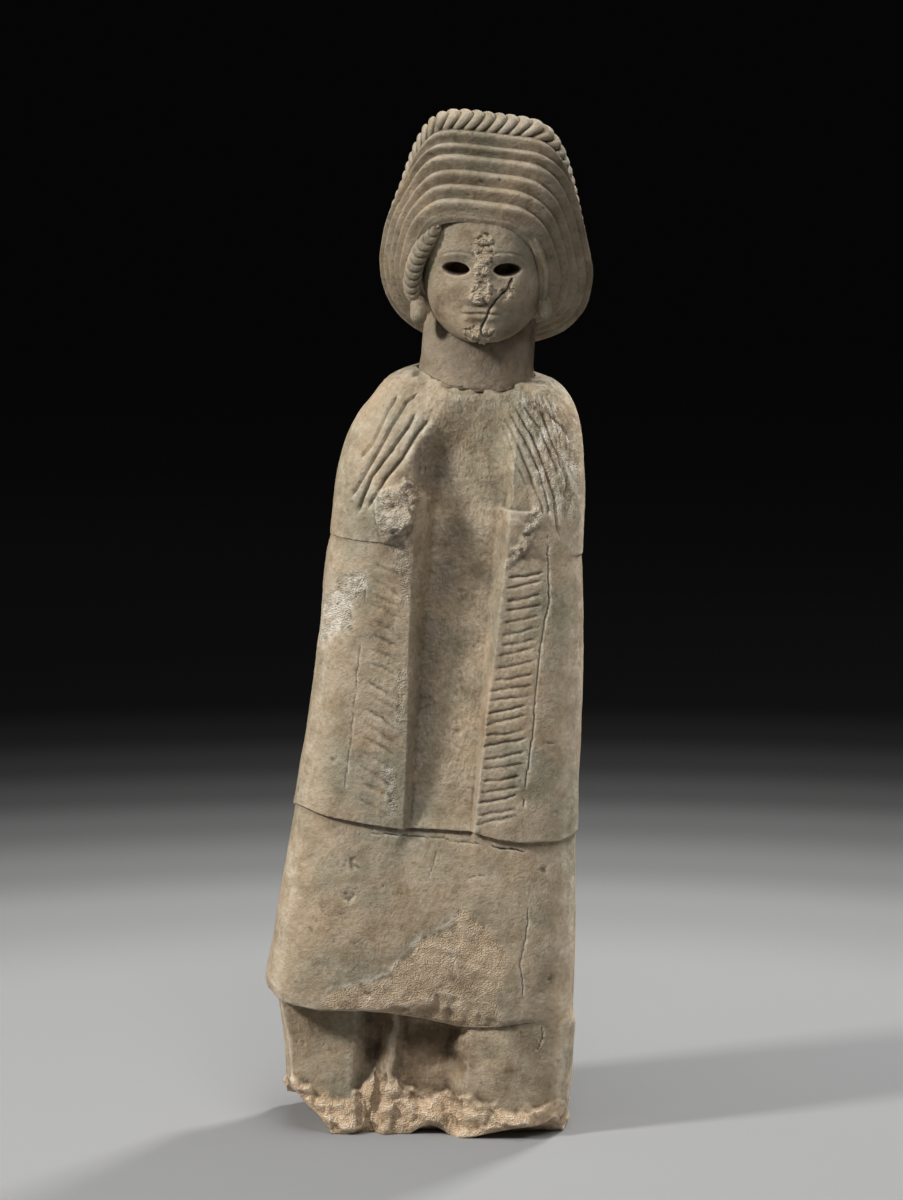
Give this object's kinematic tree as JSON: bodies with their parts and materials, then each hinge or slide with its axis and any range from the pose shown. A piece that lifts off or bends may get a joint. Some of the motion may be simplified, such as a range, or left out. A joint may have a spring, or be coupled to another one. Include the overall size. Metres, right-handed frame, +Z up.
{
  "type": "praying woman statue",
  "caption": "Stone figure of a standing woman in a long cloak with a banded turban, worn and broken at the base, on which it stands.",
  "frame": {"origin": "on the flat patch of the broken underside that the figure stands on, below its base", "axes": "+Z up, the figure faces -Y, +X is to the viewer's right; the figure's own axis leans 4.4 degrees towards +X"},
  "size_m": [0.2369, 0.1472, 0.7475],
  "materials": {
    "head_stone": "worn cream to grey-brown stone, matt",
    "body_stone": "weathered grey-beige stone with pale chips and brown patches, matt"
  },
  "bodies": {
    "root": {"head": "head_stone", "body": "body_stone"}
  },
  "joints": []
}
